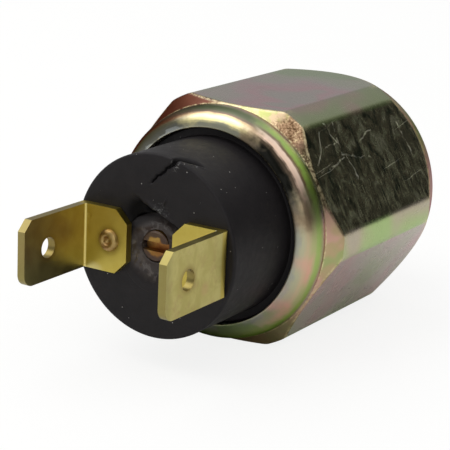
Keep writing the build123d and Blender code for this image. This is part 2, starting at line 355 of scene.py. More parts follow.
def face_relief(x, y):
    """Height of the face over its plane: pit, worn basin under a torn ledge, burr, groove."""
    pit_depth, basin_depth, crevice_depth = face_height - pit_floor, 0.85, 1.1
    burr_height, spike_height, groove_depth = 0.2, 0.2, 0.34

    angle = np.arctan2(y, x)
    ragged = wobble(angle, 3, [0, 0.04, 0.05, 0.04, 0.06, 0.04, 0.04, 0.03, 0.03])
    outside = np.hypot(x, np.maximum(np.abs(y + pit_offset) - 0.3, 0)) - pit_radius - ragged
    relief = -pit_depth * (1 - soft_step(-0.25, 0.3, outside))

    along, side = along_line(x, y, (-1.35, 4.15), (2.2, 2.35))
    side = side + (0.05 * np.sin(9 * along + 0.4) + 0.04 * np.sin(23 * along + 1.0))
    bowl = np.hypot((x + 1.25) / 2.9, (y - 2.7) / 2.25)
    under_ledge = 1 - soft_step(-0.08, 0.05, side)
    crevice = crevice_depth * bell(np.minimum(side + 0.12, 0), 0.55)
    crevice = crevice * soft_step(-0.1, 0.25, along)
    basin = -(basin_depth + crevice) * (1 - soft_step(0.4, 1.05, bowl)) * under_ledge
    relief = np.minimum(relief, basin)

    on_ledge = soft_step(-0.05, 0.25, along) * (1 - soft_step(0.85, 1.1, along))
    relief += burr_height * on_ledge * bell(side - 0.3, 0.22) * (relief > -0.5)
    spike_along, spike_side = along_line(x, y, (0.95, 4.05), (1.25, 4.85))
    relief += spike_height * bell(spike_side, 0.09) * bell(spike_along - 0.5, 0.42)
    return relief - groove_depth * groove_share(x, y)


def build_head():
    """The black head: flange, boss and face, closed round the bush's hole and the cavity."""
    outline = rounded(
        [
            (cavity_radius, flange_height), (flange_radius, flange_height),
            (flange_radius, shoulder_height), neck, (boss_radius, neck[1]),
            (boss_radius, 33.4), (boss_radius, face_height),
            (bush_hole_radius, face_height), (bush_hole_radius, ceiling_height),
            (cavity_radius, ceiling_height),
        ],
        [0.1, 0.1, 0.2, 0.2, 0.15, 0, 0.34, 0, 0, 0.3],
        steps=6,
    )

    def step(point):
        radius, height = point
        if height > face_height - 0.6:
            return 0.05 if radius < 5.6 or radius > 8.3 else 0.1
        if radius > 8.3 and height > 33.5:
            return 0.07
        return 2.0

    rows = spread(outline, step)
    angle = angles(720)
    radius = np.broadcast_to(rows[:, :1], (len(rows), len(angle))).copy()
    height = np.broadcast_to(rows[:, 1:], (len(rows), len(angle))).copy()
    x, y = head_axes(radius, angle)
    on_face = soft_step(face_height - 0.45, face_height - 0.02, height)
    height += on_face * np.maximum(face_relief(x, y), pit_floor - height)

    # the groove runs on down the boss's side as a crescent-shaped slit
    slit_depth, lip_height = 0.5, 0.05
    wrap = (angle - clocking) * boss_radius
    start = (math.radians(78.5) * boss_radius, face_height)
    end = (math.radians(63.0) * boss_radius, 34.25)
    slit_along, slit_side = along_line(wrap, height, start, end)
    bow = np.clip(4 * slit_along * (1 - slit_along), 0, 1)
    slit_side = slit_side - 0.22 * bow
    within = soft_step(-0.06, 0.06, slit_along) * (1 - soft_step(0.94, 1.04, slit_along))
    outer_wall = (radius > boss_radius - 0.5) & (height > 33.0)
    slit = outer_wall * within * bell(slit_side, 0.06 + 0.24 * bow)
    # crack marks the slit and the groove, where the material paints shade
    crack = np.maximum(slit, groove_share(x, y) * (on_face > 0) * (radius < boss_radius))
    radius -= slit_depth * slit
    radius += outer_wall * lip_height * within * bell(slit_side + 0.32, 0.14)
    radius = np.minimum(radius, flange_radius)
    piece = turned_mesh("terminal_head_moulding", radius, height, angle)
    add_attribute(piece, "crack", crack)
    return piece


def build_resin():
    """The sealing resin: it stands up round the screw, sags above it and creeps up to the face."""
    rows = 64
    angle = angles(300)
    share = np.linspace(0, 1, rows)[:, None]
    inner = 1.56
    half_width, reach_up, reach_down = 3.95, 3.0, 4.5
    turn = angle - clocking
    up_or_down = np.where(np.sin(turn) > 0, reach_up, reach_down)
    outer = 1 / np.hypot(np.cos(turn) / half_width, np.sin(turn) / up_or_down)
    radius = inner + (outer - inner) * share
    x, y = head_axes(radius, angle)

    highest = face_height + 0.025
    level = resin_level + 0.8
    level = level - 1.0 * soft_step(0.9, 2.9, y + 0.15 * x) - 0.25 * soft_step(-0.6, 1.0, y)
    from_pit = np.hypot(x / pit_radius, (y + pit_offset) / 3.6)
    creep = soft_step(0.62, 0.98, from_pit) * (1 - soft_step(0.2, 1.8, y))
    level += (highest - level) * creep
    pooled = 1 - creep
    collar = 0.08 * bell(radius - 2.05, 0.42) * pooled
    ripple = 0.05 * np.sin(1.7 * x + 0.6) * np.cos(1.3 * y - 0.4) * pooled
    crinkle = 0.13 * pooled * bell(x + 2.0, 0.75) * bell(y + 1.7, 0.9)
    crinkle = crinkle * np.sin(6.5 * x + 2.2 * y) * np.cos(5.2 * y - 2.0 * x)
    top = np.minimum(level + collar + ripple + crinkle, highest)
    bottom = np.full_like(top, pit_floor + 0.02)
    height = np.vstack([top, bottom[::-1]])
    radius = np.vstack([radius, radius[::-1]])
    return turned_mesh("sealing_resin_pool", radius, height, angle)


def build_rivet(side):
    """A rivet: rolled rim over the terminal's foot, peened dimple, shank and clinched end."""
    low, high = corners_mm(f"rivet_{side}")
    centre = (low + high) / 2
    top, bottom = -low[1], -high[1]
    foot_top = top - 0.45
    shank_radius, clinch_radius, clinch_height = 0.9, 1.2, 0.5
    outline = rounded(
        [
            (0.0, foot_top - 0.02), (0.16, foot_top - 0.02), (0.3, foot_top + 0.14),
            (0.46, top - 0.05), (0.72, top), (0.98, top - 0.16),
            (1.1, foot_top + 0.04), (1.1, foot_top), (shank_radius, foot_top),
            (shank_radius, bottom + clinch_height), (clinch_radius, bottom + clinch_height),
            (clinch_radius, bottom + 0.15), (1.0, bottom), (0.45, bottom),
            (0.4, bottom + 0.6), (0.0, bottom + 0.6),
        ],
        [0, 0.1, 0.1, 0.2, 0.3, 0.25, 0.06, 0.02, 0.02, 0.02, 0.05, 0.1, 0.1, 0.1, 0.1, 0],
    )
    rows = spread(outline, lambda point: 0.1 if point[1] > foot_top - 0.3 else 1.0, closed=False)
    angle = angles(96)
    dents = 0.03 * np.cos(3 * angle + 0.5) + 0.02 * np.cos(5 * angle)
    on_rim = (rows[:, 1:] > foot_top + 0.1) & (rows[:, :1] < 0.7) & (rows[:, :1] > 0.2)
    radius = rows[:, :1] * (1 + on_rim * dents)
    height = np.broadcast_to(rows[:, 1:], radius.shape)
    centre = np.array([centre[0], 0, centre[2]]) * MM
    piece = turned_mesh(f"rivet_{side}_rolled", radius, height, angle, centre, closed=False)
    weld = bmesh.new()
    weld.from_mesh(piece.data)
    bmesh.ops.remove_doubles(weld, verts=weld.verts, dist=1e-4 * MM)
    weld.to_mesh(piece.data)
    weld.free()
    return piece


def build_spring(name, start, end):
    """The set spring's wire between two shares of its length, its outer ends ground flat."""
    low, high = corners_mm("set_spring")
    bottom, top = -high[1], -low[1]
    wire, coils, sides, steps = 0.3, 8, 16, 280
    share = np.linspace(start, end, steps + 1)[:, None]
    around = angles(sides)
    middle = bottom + wire / 2 + (top - bottom - wire) * share
    height = np.clip(middle + wire * np.sin(around), bottom, top)
    radius = np.broadcast_to(high[0] - wire + wire * np.cos(around), height.shape)
    points = turned_place(radius, height, FULL_TURN * coils * share)
    faces = ring_faces(steps + 1, sides, False).tolist()
    faces += [list(range(sides)), list(range((steps + 1) * sides - 1, steps * sides - 1, -1))]
    return make_mesh(name, points.reshape(-1, 3), faces)


body_shell = build_body()
stud = build_stud()
head = build_head()
resin = build_resin()
rivets = {side: build_rivet(side) for side in ("right", "left")}

for piece in (body_shell, stud, head, resin, *rivets.values()):
    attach(piece, "housing")

# The spring is made in two halves, lower and upper, which meet at its middle.
lower_spring = build_spring("set_spring_lower", 0.0, 0.5)
upper_spring = build_spring("set_spring_upper", 0.5, 1.0)
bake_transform(lower_spring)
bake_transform(upper_spring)

# each new piece, the CAD node that it stands for and its material slot
new_pieces = [
    (body_shell, "hex_body", "plated_steel"),
    (stud, "hex_body", "plated_steel"),
    (head, "terminal_head", "black_plastic"),
    (resin, "sealing_resin", "resin"),
    (rivets["right"], "rivet_right", "rivet_brass"),
    (rivets["left"], "rivet_left", "rivet_brass"),
    (lower_spring, "set_spring", "spring_steel"),
    (upper_spring, "set_spring", "spring_steel"),
]

# ---- Materials ----
# Colours are linear red, green and blue. Places and sizes are in millimetres. Angles round the
# axis run from +X towards +Z, in radians.

# Long scratches on the right upper flat, each (start, end); a place is
# (distance up the flat from its middle line, y).
right_flat_scratches = [
    ((5.4, -19.3), (2.9, -17.7)), ((5.2, -17.6), (2.1, -17.9)),
    ((4.8, -20.5), (2.9, -21.5)), ((2.9, -21.5), (1.7, -23.0)),
    ((1.9, -18.1), (0.7, -12.8)), ((1.6, -17.5), (-0.9, -16.8)),
    ((0.9, -22.8), (1.4, -18.0)), ((3.0, -20.9), (3.2, -18.5)),
    ((2.5, -14.2), (3.5, -10.4)), ((3.1, -5.2), (-0.6, -4.4)),
]


class Graph:
    """Shader nodes of one tree. Values may be numbers, colours or sockets of other nodes."""

    def __init__(self, tree):
        self.tree = tree

    def node(self, kind, inputs=None, **settings):
        made = self.tree.nodes.new("ShaderNode" + kind)
        for key, value in settings.items():
            setattr(made, key, value)
        for key, value in (inputs or {}).items():
            self.set_input(made.inputs[key], value)
        return made

    def set_input(self, socket, value):
        """Links or sets a socket; a colour of three numbers gets full opacity."""
        if isinstance(value, bpy.types.NodeSocket):
            self.tree.links.new(value, socket)
        elif isinstance(value, tuple) and len(value) == 3 and len(socket.default_value) == 4:
            socket.default_value = (*value, 1)
        else:
            socket.default_value = value

    def math(self, operation, a, b=0.0, clamp=False):
        return self.node("Math", {0: a, 1: b}, operation=operation, use_clamp=clamp).outputs[0]

    def times(self, a, b, clamp=False):
        return self.math("MULTIPLY", a, b, clamp)

    def plus(self, a, b):
        return self.math("ADD", a, b)

    def most(self, a, b):
        return self.math("MAXIMUM", a, b)

    def rest_of(self, share):
        """What a share leaves of one."""
        return self.math("SUBTRACT", 1.0, share)

    def vector(self, operation, a, b=None, scale=None, output=0):
        given = {0: a, 1: b, "Scale": scale}
        values = {key: value for key, value in given.items() if value is not None}
        return self.node("VectorMath", values, operation=operation).outputs[output]

    def ramp(self, value, stops):
        """A colour for a value, from (position, colour or grey) stops in rising order."""
        made = self.node("ValToRGB", {0: value})
        made.color_ramp.interpolation = "EASE"
        elements = made.color_ramp.elements
        elements[0].position, elements[1].position = stops[0][0], stops[-1][0]
        for position, _ in stops[1:-1]:
            elements.new(position)
        for position, shade in stops:
            element = min(elements, key=lambda e: abs(e.position - position))
            element.color = (*shade, 1) if isinstance(shade, tuple) else (shade, shade, shade, 1)
        return made.outputs[0]

    def between(self, value, low, high):
        """0 at low, 1 at high, smooth between."""
        values = {"Value": value, "From Min": low, "From Max": high}
        return self.node("MapRange", values, interpolation_type="SMOOTHSTEP").outputs[0]

    def mix(self, share, a, b, blend="MIX"):
        made = self.node("Mix", {0: share, 6: a, 7: b}, data_type="RGBA", blend_type=blend)
        return made.outputs[2]

    def tint(self, colour, shade, mask, share=None):
        """The colour, turned towards a shade where the mask says so."""
        return self.mix(mask if share is None else self.times(mask, share), colour, shade)


class Shader(Graph):
    """A material, with the place and the direction of the surface ready for use."""

    def __init__(self, name):
        self.material = bpy.data.materials.new(name)
        self.material.use_nodes = True
        super().__init__(self.material.node_tree)
        self.surface = self.tree.nodes["Principled BSDF"]
        place = self.node("TexCoord").outputs["Object"]
        self.mm = self.vector("SCALE", place, scale=1 / MM)
        self.x, self.y, self.z = self.node("SeparateXYZ", {0: self.mm}).outputs
        turn = (math.cos(clocking), 0.0, math.sin(clocking))
        over = (-math.sin(clocking), 0.0, math.cos(clocking))
        self.across = self.vector("DOT_PRODUCT", self.mm, turn, output="Value")
        self.over = self.vector("DOT_PRODUCT", self.mm, over, output="Value")
        normal = self.node("NewGeometry").outputs["Normal"]
        self.nx, self.ny, self.nz = self.node("SeparateXYZ", {0: normal}).outputs

    def map_of(self, *axes):
        """A flat or turned map of the surface to look textures up in."""
        return self.node("CombineXYZ", dict(enumerate(axes))).outputs[0]

    def radius(self):
        """Distance from the switch's axis."""
        return self.math("SQRT", self.plus(self.times(self.x, self.x), self.times(self.z, self.z)))

    def noise(self, scale, detail=3.0, roughness=0.5, place=None, distortion=0.0, stretch=None):
        where = self.mm if place is None else place
        if stretch:
            where = self.vector("MULTIPLY", where, stretch)
        values = {"Vector": where, "Scale": scale, "Detail": detail, "Roughness": roughness}
        values["Distortion"] = distortion
        return self.node("TexNoise", values).outputs[0]

    def distance(self, a, b):
        return self.vector("DISTANCE", a, b, output="Value")

    def spot(self, place, size, where=None):
        """1 inside a soft round spot of the given size round a point, 0 outside."""
        away = self.distance(self.mm if where is None else where, place)
        return self.between(away, size, size * 0.3)

    def bump(self, height, distance, normal=None, strength=1.0):
        values = {"Height": height, "Distance": distance * MM, "Strength": strength}
        if normal:
            values["Normal"] = normal
        return self.node("Bump", values).outputs[0]

    def attribute(self, name):
        return self.node("Attribute", attribute_name=name).outputs["Fac"]

    def streaks(self, place, angle, spacing, aspect, chosen, seed):
        """Thin straight marks, one in some cells of a stretched cell pattern, on a flat map."""
        centre = (seed, seed * 2.0, 0.0)
        turned = self.node(
            "VectorRotate", {"Vector": place, "Angle": angle, "Center": centre},
            rotation_type="Z_AXIS",
        ).outputs[0]
        shrink = (1.0 / spacing, 1.0 / (spacing * aspect), 0.0)
        stretched = self.vector("MULTIPLY", turned, shrink)
        bent = self.vector("ADD", stretched, self.map_of(self.noise(0.35, 1.0)))
        cells = self.node("TexVoronoi", {"Vector": bent, "Scale": 1.0}, voronoi_dimensions="2D")
        luck = self.node("SeparateColor", {0: cells.outputs["Color"]}).outputs[0]
        present = self.between(luck, 1 - chosen, 1 - chosen + 0.05)
        mark = self.between(cells.outputs["Distance"], 0.1, 0.04)
        return self.times(mark, present)

    def scratch(self, place, start, end, width):
        """1 along a straight line on a flat map, fading to 0 at the given distance."""
        span = Vector((*end, 0.0)) - Vector((*start, 0.0))
        away = self.vector("SUBTRACT", place, (*start, 0.0))
        per_length = tuple(span / span.length_squared)
        along = self.vector("DOT_PRODUCT", away, per_length, output="Value")
        share = self.math("ADD", along, 0.0, clamp=True)
        nearest = self.vector("SCALE", tuple(span), scale=share)
        return self.between(self.distance(away, nearest), width, width * 0.25)

    def finish(self, **values):
        """Sets the surface's inputs by name and gives back the material."""
        for key, value in values.items():
            name = key.replace("_", " ").title().replace("Ior", "IOR")
            self.set_input(self.surface.inputs[name], value)
        return self.material


class Plating:
    """Yellow-passivated zinc: pink, green and gold drifts, browner on turned cones, bright edges
    that are partly worn metal and partly painted highlight, and painted highlights, reflections and
    shade.
    """

    def __init__(self):
        s = self.s = Shader("plated_steel")
        self.radius = s.radius()
        self.turn = s.math("ARCTAN2", s.z, s.x)
        self.flat_map = s.map_of(s.times(self.turn, corner_radius), s.y)
        self.turned = s.between(s.math("ABSOLUTE", s.ny), 0.03, 0.25)
        self.upward = s.between(s.nz, 0.6, 0.9)
        self.drift = s.noise(0.115, 1.0, 0.5, distortion=0.35)
        self.fine = s.noise(0.8, 4.0, 0.6)
        self.unevenness = s.math("SUBTRACT", s.noise(0.45, 3.0, 0.6), 0.5)
        self.ragged_turn = s.plus(self.turn, s.times(self.unevenness, 0.45))
        right_side = s.between(s.nx, 0.55, 0.75)
        self.facing_right = s.times(s.between(s.nz, 0.3, 0.42), right_side)

    def arc(self, low, high=4.0, soft=0.14):
        """1 between two angles, with ragged soft ends; without high, as far as the left side."""
        s, turn = self.s, self.ragged_turn
        opening = s.between(turn, low - soft, low + soft)
        return s.times(opening, s.between(turn, high + soft, high - soft))

    def flats(self):
        """Broad pink and green drifts; a painted pale floor reflection on the lower right flat, and
        on the right upper flat a painted dark reflection with a mottle and pale fibres.
        """
        s = self.s
        film = s.plus(s.times(self.drift, 0.92), s.times(self.fine, 0.08))
        colour = s.ramp(film, [
            (0.36, (0.38, 0.5, 0.24)), (0.43, (0.5, 0.5, 0.36)), (0.49, (0.55, 0.48, 0.41)),
            (0.54, (0.62, 0.43, 0.42)), (0.6, (0.67, 0.38, 0.4)), (0.67, (0.52, 0.46, 0.4)),
        ])
        stain = s.between(s.noise(0.42, 3.0, 0.6), 0.58, 0.7)
        colour = s.tint(colour, (0.34, 0.25, 0.19), stain, 0.3)
        # painted reflection: the lower right flat is turned paler, as for the pale floor
        painted_floor_reflection = s.times(s.between(s.nz, -0.2, -0.5), s.between(s.nx, 0.5, 0.8))
        colour = s.tint(colour, (0.68, 0.57, 0.5), painted_floor_reflection, 0.45)

        # painted dark reflection on the right upper flat: a dark mottle with pale fibres, more of
        # them on its lower half
        mottle = s.noise(0.5, 3.0, 0.6, self.flat_map, 1.2, stretch=(0.8, 1.3, 1.0))
        mottle_and_painted_dark = s.ramp(mottle, [
            (0.36, (0.08, 0.1, 0.05)), (0.46, (0.26, 0.25, 0.14)), (0.54, (0.36, 0.32, 0.18)),
            (0.6, (0.6, 0.62, 0.36)), (0.68, (0.86, 0.84, 0.56)),
        ])
        fibres = s.noise(1.0, 4.0, 0.7, self.flat_map, 0.3, stretch=(0.45, 3.6, 1.0))
        fibres = s.between(fibres, 0.5, 0.64)
        lower_half = s.between(self.turn, 0.66, 0.36)
        fibre_share = s.plus(0.15, s.times(lower_half, 0.85))
        mottle_and_painted_dark = s.tint(mottle_and_painted_dark, (1.0, 1.0, 0.6), fibres, fibre_share)
        return s.tint(colour, mottle_and_painted_dark, self.facing_right)

    def rim(self):
        """Painted sheen on the rim from the crease to its inner edge, different in each arc: film
        colours with painted highlights and dark reflections.
        """
        s = self.s
        band = s.plus(s.times(s.ny, -1.0), s.times(self.unevenness, 0.24))
        sheen = s.ramp(band, [
            (0.08, (0.22, 0.42, 0.08)), (0.24, (0.42, 0.56, 0.18)), (0.44, (0.54, 0.54, 0.26)),
            (0.7, (0.66, 0.54, 0.34)), (0.9, (0.56, 0.54, 0.36)), (0.98, (0.46, 0.46, 0.38)),
        ])
        blush = s.times(s.between(s.noise(0.28, 1.0), 0.36, 0.6), self.arc(-0.7, 0.16, 0.2))
        blush = s.times(blush, s.between(band, 0.28, 0.55))
        sheen = s.tint(sheen, (0.86, 0.42, 0.36), blush, 0.85)
        low_right = s.between(self.ragged_turn, -0.55, -0.85)
        mossy = s.times(s.between(s.noise(0.4, 2.0), 0.4, 0.6), low_right)
        sheen = s.tint(sheen, (0.32, 0.46, 0.14), mossy, 0.7)
        # painted highlights on the right upper arc, lime outside and pink-white in the middle, with
        # a painted dark reflection along the inner edge
        right = s.ramp(band, [
            (0.1, (0.7, 1.0, 0.16)), (0.26, (0.4, 0.6, 0.12)), (0.38, (0.22, 0.15, 0.08)),
            (0.48, (1.0, 0.76, 0.6)), (0.62, (0.94, 0.68, 0.52)), (0.74, (0.09, 0.065, 0.045)),
            (0.9, (0.015, 0.015, 0.012)), (0.98, (0.035, 0.035, 0.03)),
        ])
        sheen = s.tint(sheen, right, self.arc(0.42, 1.16))
        brown = s.mix(s.noise(2.2, 3.0, 0.7), (0.16, 0.1, 0.06), (0.5, 0.36, 0.22))
        smudge = s.times(self.arc(0.2, 0.44, 0.1), s.between(band, 0.36, 0.62))
        sheen = s.tint(sheen, brown, smudge, 0.8)
        # painted golden highlight on the inner half of the top arc, dark green outside
        top = s.ramp(band, [
            (0.1, (0.13, 0.21, 0.08)), (0.4, (0.12, 0.16, 0.06)), (0.53, (0.17, 0.11, 0.06)),
            (0.63, (0.78, 0.56, 0.3)), (0.74, (0.95, 0.82, 0.54)), (0.88, (0.95, 0.84, 0.42)),
            (0.98, (0.4, 0.4, 0.3)),
        ])
        sheen = s.tint(sheen, top, self.arc(1.2))
        gap = s.times(self.arc(1.1, 1.28, 0.08), s.between(band, 0.4, 0.6))
        sheen = s.tint(sheen, brown, gap, 0.75)
        # painted shade: the left arc darker and duller, with a thin painted light line at the inner
        # edge
        left = s.ramp(band, [
            (0.1, (0.14, 0.16, 0.09)), (0.4, (0.17, 0.12, 0.07)), (0.62, (0.2, 0.1, 0.06)),
            (0.82, (0.15, 0.14, 0.09)), (0.96, (0.17, 0.17, 0.14)), (0.99, (0.36, 0.38, 0.36)),
        ])
        sheen = s.tint(sheen, left, self.arc(1.88, soft=0.16))
        # painted shade: the lower arc of the rim darkened
        painted_shade_below = s.between(self.ragged_turn, -0.95, -1.75)
        return s.tint(sheen, (0.09, 0.11, 0.06), painted_shade_below, 0.8)

    def cones(self):
        """Red-brown at the upper left, then cream, sparkling brown with painted glints, a painted
        dark reflection and pink clockwise.
        """
        s = self.s
        soft = s.ramp(s.noise(0.24, 2.0, 0.5, distortion=0.4), [
            (0.38, (0.42, 0.46, 0.2)), (0.48, (0.56, 0.42, 0.24)), (0.58, (0.68, 0.42, 0.32)),
        ])
        grains, patches = s.noise(5.5, 3.0, 0.7), s.noise(1.3, 2.0)
        speckle = s.plus(s.times(grains, 0.6), s.times(patches, 0.4))
        # a brown speckle whose bright flecks are painted glints
        sparkling = s.ramp(speckle, [
            (0.4, (0.14, 0.08, 0.04)), (0.48, (0.36, 0.22, 0.12)), (0.55, (0.56, 0.36, 0.22)),
            (0.62, (0.95, 0.76, 0.44)),
        ])
        creamy = s.between(s.noise(1.1, 3.0), 0.38, 0.62)
        cream = s.mix(creamy, (0.74, 0.56, 0.36), (0.52, 0.54, 0.2))
        glints = s.between(speckle, 0.53, 0.62)
        # painted dark reflection on the upper right of the cones, flecked with painted glints
        painted_dark_reflection = s.mix(glints, (0.085, 0.055, 0.03), (0.62, 0.52, 0.28))
        rust = s.mix(s.noise(0.7, 3.0), (0.11, 0.045, 0.03), (0.22, 0.085, 0.055))
        tint = s.tint(soft, painted_dark_reflection, self.arc(0.32, 0.86, 0.08))
        tint = s.tint(tint, sparkling, self.arc(0.86, soft=0.08))
        tint = s.tint(tint, cream, self.arc(1.16, soft=0.08))
        tint = s.tint(tint, rust, self.arc(1.66, soft=0.1))
        dusky = s.mix(s.noise(0.6, 3.0), (0.26, 0.26, 0.12), (0.36, 0.24, 0.17))
        tint = s.tint(tint, dusky, s.between(self.ragged_turn, -0.6, -1.0))
        rear = s.ramp(s.plus(self.drift, s.times(self.unevenness, 0.35)), [
            (0.38, (0.36, 0.42, 0.2)), (0.48, (0.52, 0.46, 0.26)), (0.56, (0.56, 0.38, 0.3)),
            (0.66, (0.5, 0.3, 0.3)),
        ])
        return s.tint(tint, rear, s.between(s.y, -4.3, -4.0))

    def strips(self):
        """The narrow turned strips between the flats, painted brighter on the lower ones and duller
        on the upper ones, as for their reflections.
        """
        s = self.s
        green = s.between(self.drift, 0.42, 0.58)
        dull = s.mix(green, (0.26, 0.34, 0.12), (0.36, 0.29, 0.18))
        pale = s.between(self.drift, 0.5, 0.68)
        bright = s.mix(pale, (0.42, 0.6, 0.2), (0.54, 0.47, 0.34))
        return s.tint(dull, bright, s.between(self.turn, 0.6, 0.4))

    def marks(self):
        """Long crossing scratches on the right upper flat, short ones here and there on the others.
        """
        s = self.s
        slope = math.pi / 6
        up_the_flat = (-math.sin(slope), 0.0, math.cos(slope))
        height_up = s.vector("DOT_PRODUCT", s.mm, up_the_flat, output="Value")
        shift = s.times(self.unevenness, 1.6)
        right_flat_map = s.map_of(s.plus(height_up, shift), s.plus(s.y, shift))
        marks = s.times(s.streaks(self.flat_map, 0.15, 0.5, 60.0, 0.25, 9.0), 0.7)
        broken = s.between(s.noise(1.1, 3.0, 0.6), 0.36, 0.6)
        broken = s.times(self.facing_right, broken)
        for start, end in right_flat_scratches:
            line = s.scratch(right_flat_map, start, end, 0.12)
            marks = s.most(marks, s.times(line, broken))
        short_marks = s.streaks(self.flat_map, 1.5, 0.22, 14.0, 0.45, 3.0)
        worn = s.between(s.noise(0.4, 2.0), 0.5, 0.62)
        marks = s.most(marks, s.times(s.times(short_marks, worn), 0.3))
        marks = s.times(marks, s.rest_of(self.turned))
        return s.times(marks, s.rest_of(s.times(self.upward, 0.8)))

    def material(self):
        s, turned = self.s, self.turned
        colour = s.mix(turned, self.flats(), self.cones())
        crease_y = -crimp_crease[1]
        on_rim = s.times(s.between(s.y, crease_y + 0.02, crease_y - 0.07), turned)
        colour = s.tint(colour, self.rim(), on_rim)
        at_corner = s.between(self.radius, 13.02, 13.12)
        on_strip = s.times(at_corner, s.rest_of(turned))
        colour = s.tint(colour, self.strips(), on_strip, 0.85)
        # painted reflection: surfaces that face up are turned a little greyer
        colour = s.tint(colour, (0.52, 0.47, 0.46), self.upward, 0.25)
        marks = self.marks()
        colour = s.tint(colour, (1.0, 1.0, 0.9), marks, 0.36)
        # bright edges: partly worn metal, partly a painted edge highlight
        chipped = s.between(s.noise(2.6, 4.0, 0.7), 0.4, 0.56)
        wear_and_edge_highlight = s.times(s.attribute("edge"), chipped, clamp=True)
        colour = s.tint(colour, (0.86, 0.74, 0.44), wear_and_edge_highlight, 0.85)

        rough = s.plus(0.18, s.times(self.fine, 0.16))
        rough = s.plus(rough, s.times(turned, 0.08))
        rough = s.plus(rough, s.times(marks, 0.3))
        grain = s.noise(6.0, 2.0, 0.6, stretch=(1.0, 0.06, 1.0))
        lathe = s.noise(14.0, 1.0, 0.5, s.map_of(self.radius, s.y))
        normal = s.bump(s.mix(turned, grain, lathe), 0.003)
        normal = s.bump(s.times(marks, -1.0), 0.004, normal)
        normal = s.bump(s.noise(0.35, 1.0), 0.03, normal, 0.35)
        # turned surfaces keep their colour at grazing angles, where a metal turns white
        grazing = s.mix(turned, (1.0, 1.0, 1.0), colour)
        return s.finish(
            base_color=colour, metallic=1.0, roughness=rough, normal=normal,
            specular_tint=grazing,
        )


def black_plastic():
    """Matt black moulding: faint sheen, fine grain, specks of dust, pale debris in its slit, and
    painted shade in its pit, groove and slit.
    """
    s = Shader("black_plastic")
    colour = s.mix(s.noise(0.5, 3.0), (0.012, 0.011, 0.012), (0.022, 0.019, 0.02))
    specks = s.node("TexVoronoi", {"Vector": s.mm, "Scale": 1.5, "Randomness": 1.0})
    chosen = s.node("TexWhiteNoise", {"Vector": specks.outputs["Position"]}).outputs[0]
    size = s.times(s.between(chosen, 0.45, 1.0), 0.085)
    dust = s.math("LESS_THAN", specks.outputs["Distance"], size)
    colour = s.tint(colour, (0.5, 0.48, 0.45), dust, 0.85)

    at_slit = s.most(s.spot((1.75, -36.15, 8.3), 0.75), s.spot((3.05, -35.05, 8.32), 0.75))
    at_ledge = s.times(s.spot((0.55, -36.1, 3.55), 1.1), 0.8)
    crumbs = s.between(s.noise(4.5, 3.0, 0.7), 0.52, 0.64)
    crumbs = s.times(crumbs, s.most(at_slit, at_ledge))
    colour = s.tint(colour, (0.3, 0.3, 0.29), crumbs, 0.6)
    # painted shade: darkened below the face round the pit, and along the groove and slit
    painted_recess_shade = s.times(s.between(s.y, -36.05, -35.5), s.spot((-0.6, -35.8, 1.8), 8.0))
    painted_recess_shade = s.most(painted_recess_shade, s.between(s.attribute("crack"), 0.25, 0.75))
    colour = s.tint(colour, (0.004, 0.004, 0.004), painted_recess_shade, 0.8)

    normal = s.bump(s.noise(7.0, 3.0, 0.6), 0.02, strength=0.5)
    normal = s.bump(s.noise(1.2, 2.0), 0.06, normal, 0.5)
    rough = s.plus(0.36, s.times(s.noise(1.5, 3.0), 0.25))
    gloss = s.mix(painted_recess_shade, (0.18, 0.18, 0.18), (0.05, 0.05, 0.05))
    return s.finish(base_color=colour, roughness=rough, normal=normal, specular_ior_level=gloss)


def brass(s, light, dark, stain, stain_share, roughness=0.26):
    """Brass with faint rolling grain, tarnish clouds and pits: colour, roughness and normal."""
    cloud = s.noise(0.45, 3.0, 0.55, distortion=0.8)
    colour = s.mix(s.between(cloud, 0.35, 0.65), dark, light)
    blotch = s.between(s.noise(0.8, 3.0, 0.6), 0.52, 0.7)
    colour = s.tint(colour, stain, blotch, stain_share)
    pits = s.between(s.noise(3.2, 2.0), 0.66, 0.74)
    colour = s.tint(colour, stain, pits, 0.25)
    rough = s.plus(roughness, s.times(cloud, 0.2))
    grain = s.noise(9.0, 2.0, 0.6, stretch=(1.0, 0.08, 1.0))
    normal = s.bump(grain, 0.003)
    normal = s.bump(s.noise(0.8, 2.0), 0.04, normal, 0.4)
    return {"base_color": colour, "roughness": rough, "normal": normal}


def plain_brass(name, light, dark, stain, stain_share):
    """A brass material without marks of its own."""
    s = Shader(name)
    return s.finish(metallic=1.0, **brass(s, light, dark, stain, stain_share))


